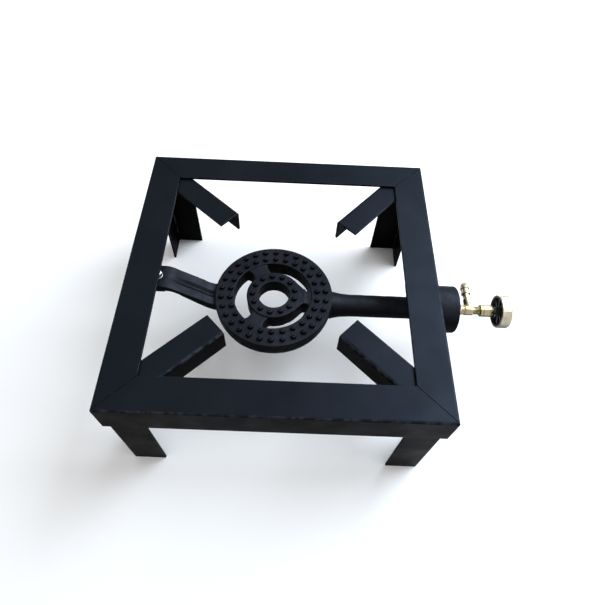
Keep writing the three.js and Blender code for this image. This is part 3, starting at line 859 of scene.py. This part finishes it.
def mixing_tube():
    """The tube and its bell, the collar where the tube leaves the ring, the bar that holds the valve,
    and the boss under the mixer bolt."""
    side = RING_X + RING_RADIUS
    tube = on_axis([(8.5 * MM, side - 8 * MM, 1 * MM), (14.4 * MM, side - 8 * MM, 1 * MM),
                    (14.4 * MM, side + 0.5 * MM, 3 * MM), (12.6 * MM, side + 9 * MM, 6 * MM),
                    (11.9 * MM, side + 20 * MM, 10 * MM), (11.9 * MM, BELL_START, 4 * MM),
                    (16 * MM, BELL_START + 3 * MM, 4 * MM), (22.5 * MM, BELL_FULL - 4 * MM, 4 * MM),
                    (25.3 * MM, BELL_FULL, 3 * MM), (25.3 * MM, BELL_END - 0.3 * MM, 1.2 * MM),
                    (22.2 * MM, BELL_END - 0.3 * MM, 1 * MM), (22.2 * MM, BELL_FULL + 2 * MM, 3 * MM),
                    (19 * MM, BELL_FULL - 2 * MM, 3 * MM), (12.5 * MM, BELL_START + 4 * MM, 3 * MM),
                    (8.5 * MM, BELL_START, 3 * MM)])
    collar = on_axis([(13 * MM, side - 11 * MM, 1 * MM), (15.2 * MM, side - 11 * MM, 1 * MM),
                      (15.2 * MM, side - 1 * MM, 2 * MM), (13 * MM, side + 4 * MM, 1 * MM)])
    bar_front = BELL_END - 0.4 * MM
    cross_bar = slab((BAR_BACK, -4.8 * MM, AXIS_Z - BAR_REACH), (bar_front, 4.8 * MM, AXIS_Z + BAR_REACH))
    seat = on_axis([(4.7 * MM, BAR_BACK, 0.2 * MM), (8.4 * MM, BAR_BACK, 0.5 * MM),
                    (8.4 * MM, bar_front, 0.8 * MM), (4.7 * MM, bar_front, 0.2 * MM)], 48)
    top = SKIRT_FOOT - 0.5 * MM
    boss = fillet_loop([(3.3 * MM, AXIS_Z + 19 * MM, 0.2 * MM), (8.4 * MM, AXIS_Z + 19 * MM, 0.2 * MM),
                        (6.8 * MM, top, 0.8 * MM), (3.3 * MM, top, 0.2 * MM)])
    boss = moved(turned(boss, 48, closed=True), Matrix.Translation((middle_x("mixer_bolt"), 0, 0)))
    return [tube, collar, cross_bar, seat, boss]


def casting_body():
    """Voxels melt the closed shells into one skin with soft fillets. Then the arm's groove and a slight
    unevenness are pressed into it."""
    shells = ring_and_hub() + spokes() + mixing_tube() + [arm_mesh()]
    made = scratch("burner_casting_body", merged(shells))
    melt = made.modifiers.new("melt", "REMESH")
    melt.mode = "VOXEL"
    melt.voxel_size = 1.0 * MM
    melt.adaptivity = 0
    soften = made.modifiers.new("soften", "SMOOTH")
    soften.factor = 0.5
    soften.iterations = 4
    baked(made)
    mesh = made.data
    count = len(mesh.vertices)
    place = np.empty(count * 3, np.float32)
    mesh.vertices.foreach_get("co", place)
    place = place.reshape(-1, 3)
    normal = np.empty(count * 3, np.float32)
    mesh.vertices.foreach_get("normal", normal)
    normal = normal.reshape(-1, 3)
    along = (place[:, 0] - (RING_LEFT - 44 * MM)) / (16 * MM)
    along = np.clip(along, 0, 1) * (place[:, 0] < RING_LEFT + 2 * MM)
    across = np.clip(1 - np.abs(place[:, 1]) / (4.2 * MM), 0, 1)
    place[:, 2] -= 3.6 * MM * along * across * (normal[:, 2] > 0.3)
    uneven = [noise.noise(Vector(p) * 110) + 0.5 * noise.noise(Vector(p) * 260) for p in place.tolist()]
    uneven = np.array(uneven)
    place += normal * (0.16 * MM * (uneven[:, None] - 0.7))
    mesh.vertices.foreach_set("co", place.ravel())
    mesh.update()
    settle(made, IRON, STAND, ["burner_casting"], 180)


PORT_ROWS = [(54.5 * MM, 30, DECK), (45.5 * MM, 26, DECK), (22.3 * MM, 13, HUB_DECK)]
PORT = 0.6 * MM
CROWN = 4.6 * MM   # thickness of the smooth plates that the ports are drilled in


def port_places():
    for radius, count, deck in PORT_ROWS:
        for i in range(count):
            angle = (i + 0.5) * TAU / count
            yield Vector((RING_X + radius * math.cos(angle), radius * math.sin(angle), deck)), radius


def crown(name, inner, outer, sides, deck, shape=None):
    low = deck - CROWN
    mesh = at_ring([(inner, low, 0.3 * MM), (outer, low, 0.3 * MM),
                    (outer, deck, 1.3 * MM), (inner, deck, 1.1 * MM)], sides, shape)
    made = outward(piece(name, mesh[0], mesh[1], IRON))
    drill = turned([(0, -CROWN - MM), (PORT, -CROWN - MM), (PORT, MM), (0, MM)], 20)
    places = [place for place, radius in port_places() if inner < radius < outer]
    cut(made, scratch("drills", merged([moved(drill, Matrix.Translation(place)) for place in places])))
    settle(made, IRON, STAND, (), 35)


def pips():
    """The raised nozzles round the ports, each a little different."""
    random = np.random.default_rng(41)
    meshes = []
    for place, radius in port_places():
        rise, spread, lean_x, lean_y = random.uniform(-1, 1, 4)
        tall = (3.3 + 0.3 * rise) * MM
        foot = (2.95 + 0.15 * spread) * MM
        top = (2.0 + 0.12 * spread) * MM
        profile = [(PORT, -0.8 * MM), (foot + 0.5 * MM, -0.8 * MM), (foot + 0.4 * MM, 0), (foot, 0.25 * MM),
                   (foot - 0.25 * MM, 0.8 * MM), (top + 0.12 * MM, tall - 0.5 * MM),
                   (top - 0.05 * MM, tall - 0.12 * MM), (top - 0.3 * MM, tall), (PORT + 0.2 * MM, tall),
                   (PORT, tall - 0.25 * MM)]
        turn = Matrix.Translation(place + Vector((0.15 * MM * lean_x, 0.15 * MM * lean_y, 0)))
        meshes.append(moved(turned(profile, 22, closed=True), turn))
    mesh = merged(meshes)
    outward(piece("burner_ports", mesh[0], mesh[1], IRON, STAND, (), 40))


casting_body()
crown("burner_ring_crown", 41.1 * MM, RING_RADIUS - 0.05 * MM, 160, DECK, off_centre)
crown("burner_hub_crown", 15.9 * MM, 28.4 * MM, 112, HUB_DECK)
pips()


# ---------------------------------------------------------------- needle valve
body_low, body_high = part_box("valve_body")
barb_low, barb_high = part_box("hose_barb")
gland_low, gland_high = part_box("gland_nut")
knob_low, knob_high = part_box("valve_knob")
seal_low, seal_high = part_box("valve_seal")
BARB_X = (barb_low.x + barb_high.x) / 2
# the barb's axis: a turned piece's +Z becomes +Y, out of the valve's side
ON_BARB = Matrix.Translation((BARB_X, 0, AXIS_Z)) @ Matrix.Rotation(-math.pi / 2, 4, "X")


def valve_piece(node, tag, profile, finish, body=STAND, sides=72, shape=None, closed=True, angle=32):
    mesh = moved(turned(profile, sides, shape, closed), ON_AXIS)
    return outward(piece(f"{node}_{tag}", mesh[0], mesh[1], finish, body, [node], angle))


def valve_body():
    flats = 14 * MM
    corner = flats / math.sqrt(3)
    hex_start, hex_end = seal_high.x + 0.3 * MM, seal_high.x + 5 * MM
    nose, end, cross = body_low.x, body_high.x, BARB_X
    ease = 0.7 * MM
    profile = [(0, nose), (3.8 * MM, nose), (4.45 * MM, nose + 0.6 * MM)]
    profile += stations(4.45 * MM, nose + 1 * MM, hex_start - 1 * MM, 0.2 * MM)
    profile += [(4.1 * MM, hex_start - 0.8 * MM), (4.1 * MM, hex_start), (flats * 0.46, hex_start),
                (flats * 0.48, hex_start + 0.1 * MM), (corner, hex_start + ease), (corner, hex_end - ease),
                (flats * 0.48, hex_end - 0.1 * MM), (flats * 0.46, hex_end), (5.6 * MM, hex_end)]
    profile += [(5.1 * MM, hex_end + 0.5 * MM), (5 * MM, cross - 6.4 * MM), (5.1 * MM, cross - 6 * MM),
                (5.5 * MM, cross - 5.2 * MM), (5.6 * MM, cross - 4.6 * MM), (5.6 * MM, cross + 2.6 * MM),
                (5.5 * MM, cross + 3.2 * MM), (4.7 * MM, cross + 4 * MM), (3.95 * MM, cross + 4.2 * MM),
                (3.95 * MM, cross + 4.8 * MM), (4.5 * MM, cross + 5.2 * MM)]
    profile += stations(4.5 * MM, cross + 5.3 * MM, end - 0.5 * MM, 0.14 * MM)
    profile += [(4 * MM, end), (2.9 * MM, end), (2.9 * MM, end - 6 * MM), (0, end - 6 * MM)]
    front = thread(0.5 * MM, 1.25 * MM, cross + 5 * MM, end, hexed(flats, hex_start, hex_end))
    shape = thread(0.45 * MM, 1.25 * MM, nose, hex_start - 0.8 * MM, front)
    barrel = moved(turned(profile, 72, shape), ON_AXIS)
    boss = mm([(0, 0), (4.9, 0), (4.9, 5), (4.6, 5.6), (4.6, 6.6), (4.2, 7), (2.7, 7), (2.7, 5), (0, 5)])
    mesh = merged([barrel, moved(turned(boss, 56), ON_BARB)])
    outward(piece("valve_body_turned", mesh[0], mesh[1], BRASS, STAND, ["valve_body"], 32))


def hose_barb():
    profile = mm([(1.8, 4.6), (2.5, 4.6), (2.5, 7.3), (3.9, 7.3), (4.2, 7.6), (4.2, 13.1), (3.9, 13.5),
                  (3.5, 13.6), (3.35, 14.6), (3.35, 19.7), (3.6, 20.1), (4.75, 20.3), (4.9, 20.7),
                  (4.8, 21.4), (4.0, 26.4), (3.95, 27), (4.75, 27.3), (4.9, 27.7), (4.8, 28.4)])
    profile += mm([(3.7, -0.6), (3.3, 0), (2.2, 0), (1.8, -0.4)], barb_high.y)
    mesh = moved(turned(profile, 64, closed=True), ON_BARB)
    outward(piece("hose_barb_turned", mesh[0], mesh[1], BARB_BRASS, STAND, ["hose_barb"], 32))


def gland_nut():
    start, end = gland_low.x, gland_high.x
    radius = gland_high.z - AXIS_Z
    profile = mm([(4.55, 0.5), (4.9, 0), (5.1, 0)], start)
    profile += [(radius, start + 0.6 * MM), (radius, start + 2.4 * MM),
                (radius - 0.35 * MM, start + 2.7 * MM), (radius - 0.35 * MM, start + 3.3 * MM),
                (radius, start + 3.6 * MM), (radius, end - 1.6 * MM), (radius - 0.2 * MM, end - 1.1 * MM)]
    profile += mm([(4.7, -0.1), (4.5, 0), (2.9, 0), (2.8, -0.3), (2.8, -3.4), (4.55, -3.4)], end)
    valve_piece("gland_nut", "turned", profile, BRASS)


def spindle():
    low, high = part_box("valve_spindle")
    radius = high.z - AXIS_Z
    profile = [(0, low.x), (0.9 * MM, low.x), (radius, low.x + 6.8 * MM), (radius, high.x - 0.4 * MM),
               (radius - 0.4 * MM, high.x), (0, high.x)]
    valve_piece("valve_spindle", "turned", profile, ZINC, SPINDLE, closed=False)


def retaining_nut():
    low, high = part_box("retaining_nut")
    flats = 13 * MM
    corner = flats / math.sqrt(3)
    profile = [(4.5 * MM, low.x), (flats * 0.45, low.x), (flats * 0.48, low.x + 0.1 * MM),
               (corner, low.x + 0.8 * MM), (corner, high.x - 0.8 * MM), (flats * 0.48, high.x - 0.1 * MM),
               (flats * 0.45, high.x), (4.5 * MM, high.x)]
    valve_piece("retaining_nut", "turned", profile, BRASS, shape=hexed(flats, low.x, high.x))


def gas_jet():
    low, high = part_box("gas_jet")
    shoulder = high.x - 5 * MM
    flats = 8 * MM
    corner = flats / math.sqrt(3)
    start = shoulder - 4 * MM
    profile = mm([(0.5, 0), (1.4, 0), (1.7, 0.3)], low.x) + mm([(3.2, -0.2), (3.4, 0)], start)
    profile += [(corner, start + 0.5 * MM), (corner, shoulder - 0.4 * MM), (3.7 * MM, shoulder),
                (2.6 * MM, shoulder), (2.6 * MM, high.x), (1.4 * MM, high.x), (1.4 * MM, start),
                (0.5 * MM, low.x + 3 * MM)]
    valve_piece("gas_jet", "turned", profile, BRASS, shape=hexed(flats, start, shoulder))


def ring_piece(node, inner, outer, finish, ease):
    low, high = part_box(node)
    valve_piece(node, "turned", eased_ring(inner, outer, low.x, high.x, ease), finish)


KNURLS = 72
KNOB_RIBS = 8


def knob():
    """A cupped knob: bright plated rim, fine straight knurling, and a near-black painted shade in its hollow
    back.
    """
    back, front = knob_low.x, knob_high.x
    radius = knob_high.z - AXIS_Z
    rim_back = back + 1.5 * MM
    web = back + 5.6 * MM

    def knurled(angle, reach, height):
        if reach > radius - 0.5 * MM and rim_back + 1.2 * MM < height < front - 1.4 * MM:
            return reach - 0.28 * MM * (0.5 + 0.5 * math.cos(KNURLS * angle))
        return reach

    cap = [(radius - 1.3 * MM, rim_back + 0.2 * MM), (radius - 0.9 * MM, rim_back),
           (radius - 0.4 * MM, rim_back + 0.2 * MM), (radius - 0.1 * MM, rim_back + 0.7 * MM),
           (radius - 0.1 * MM, rim_back + 1.2 * MM),
           (radius, rim_back + 1.5 * MM), (radius, front - 1.8 * MM), (radius - 0.1 * MM, front - 1.4 * MM),
           (radius - 0.5 * MM, front - 0.6 * MM), (radius - 1.4 * MM, front), (radius - 3.4 * MM, front),
           (radius - 4 * MM, front - 0.35 * MM), (5.2 * MM, front - 0.35 * MM), (4.8 * MM, front),
           (2 * MM, front), (2 * MM, front - 1 * MM), (radius - 1.3 * MM, front - 1 * MM)]
    valve_piece("valve_knob", "cap", cap, PLATE, KNOB, 288, knurled, angle=50)

    inner = radius - 1.35 * MM
    core = [(2.9 * MM, back + 0.2 * MM), (3.2 * MM, back), (4.6 * MM, back), (5 * MM, back + 0.4 * MM),
            (5.3 * MM, web - 0.5 * MM), (6 * MM, web), (inner - 2.2 * MM, web),
            (inner - 1.6 * MM, web - 0.4 * MM), (inner - 1.3 * MM, rim_back + 0.5 * MM),
            (inner - 0.9 * MM, rim_back + 0.1 * MM), (inner - 0.3 * MM, rim_back + 0.1 * MM),
            (inner, rim_back + 0.5 * MM), (inner, front - 1.2 * MM), (2.1 * MM, front - 1.2 * MM),
            (2.1 * MM, back + 7.7 * MM), (2.9 * MM, back + 7.6 * MM)]
    hollow = moved(turned(core, 96, closed=True), ON_AXIS)
    ribs = []
    for i in range(KNOB_RIBS):
        turn = ON_AXIS @ Matrix.Rotation(i * TAU / KNOB_RIBS, 4, "Z")
        low, high = (4.4 * MM, -0.6 * MM, web - 1.8 * MM), (inner - 0.7 * MM, 0.6 * MM, web + 1 * MM)
        ribs.append(slab(low, high, turn))
    mesh = merged([hollow] + ribs)
    outward(piece("valve_knob_hollow", mesh[0], mesh[1], KNOB_PAINTED_SHADE, KNOB, ["valve_knob"], 32))


def knob_screw():
    low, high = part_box("knob_screw")
    head = high.x - 1.2 * MM
    profile = mm([(0, 0), (1.6, 0), (1.7, 0.2)], low.x) + mm([(1.7, 0), (3.6, 0), (3.55, 0.4)], head)
    profile += mm([(3.1, -0.35), (2.2, 0), (1.5, 0), (1.2, -0.3), (0, -0.8)], high.x)
    made = valve_piece("knob_screw", "turned", profile, ZINC, KNOB, 48, closed=False)
    for degrees in (0, 90):
        turn = ON_AXIS @ Matrix.Rotation(math.radians(degrees), 4, "Z")
        slot = slab((-2 * MM, -0.35 * MM, high.x - 0.7 * MM), (2 * MM, 0.35 * MM, high.x + 1 * MM), turn)
        cut(made, scratch("slot", slot))
    settle(made, ZINC, KNOB, (), 32)


# painted shade: near-black for the hollow back of the knob and its ribs, where the recess lies in shade
KNOB_PAINTED_SHADE = plain_matt("knob_painted_shade", (0.008, 0.0075, 0.007), 0.55, 260, 0.00008)
valve_body()
hose_barb()
gland_nut()
spindle()
retaining_nut()
gas_jet()
ring_piece("valve_seal", 4.8 * MM, 8 * MM, FIBRE, 0.3 * MM)
ring_piece("stem_packing", 2.9 * MM, 4.4 * MM, RUBBER, 0.2 * MM)
knob()
knob_screw()


# ---------------------------------------------------------------- floor, light and camera
FLOOR_REACH = 6
CAMERA_TURN = (-1.114, 57.266, 3.222)   # yaw, downward pitch and roll, in degrees
CAMERA_PLACE = (MIDDLE_X + 7.7 * MM, -0.2877, TOP + 0.3869)
LENS = 29.6


def floor():
    r = FLOOR_REACH
    mesh = bpy.data.meshes.new("floor")
    mesh.from_pydata([(-r, -r, 0), (r, -r, 0), (r, r, 0), (-r, r, 0)], [], [(0, 1, 2, 3)])
    made = bpy.data.objects.new("floor", mesh)
    bpy.context.scene.collection.objects.link(made)
    pale, _ = material("pale_floor", (0.93, 0.93, 0.93), 0.9)
    mesh.materials.append(pale)


def area(name, place, aim, size, watts, color):
    data = bpy.data.lights.new(name, "AREA")
    data.shape = "RECTANGLE"
    data.size, data.size_y = size
    data.energy = watts
    data.color = color
    made = bpy.data.objects.new(name, data)
    made.location = place
    made.rotation_euler = (Vector(aim) - Vector(place)).to_track_quat("-Z", "Y").to_euler()
    bpy.context.scene.collection.objects.link(made)


def camera():
    yaw, pitch, roll = (math.radians(angle) for angle in CAMERA_TURN)
    ahead = Vector((-math.sin(yaw) * math.cos(pitch), math.cos(yaw) * math.cos(pitch), -math.sin(pitch)))
    level = Vector((math.cos(yaw), math.sin(yaw), 0))
    upright = level.cross(ahead)
    right = math.cos(roll) * level + math.sin(roll) * upright
    above = -math.sin(roll) * level + math.cos(roll) * upright
    data = bpy.data.cameras.new("camera")
    data.sensor_width = 36
    data.lens = LENS
    data.clip_start = 0.01
    made = bpy.data.objects.new("camera", data)
    frame_of = Matrix((right, above, -ahead)).transposed().to_4x4()
    made.matrix_world = Matrix.Translation(CAMERA_PLACE) @ frame_of
    bpy.context.scene.collection.objects.link(made)
    bpy.context.scene.camera = made


floor()
area("soft_key", (0.88, 0.70, 1.05), (0, 0.70, 0.1), (1.5, 1.25), 39, (0.80, 0.90, 1.0))
area("soft_side", (1.2, -0.45, 0.6), (0, 0, 0.12), (0.5, 0.5), 3, (0.9, 0.95, 1.0))
world = bpy.data.worlds.new("studio")
world.use_nodes = True
world.node_tree.nodes["Background"].inputs["Color"].default_value = (1.0, 0.99, 0.98, 1)
world.node_tree.nodes["Background"].inputs["Strength"].default_value = 0.7
bpy.context.scene.world = world
bpy.context.scene.view_settings.view_transform = "Standard"
camera()
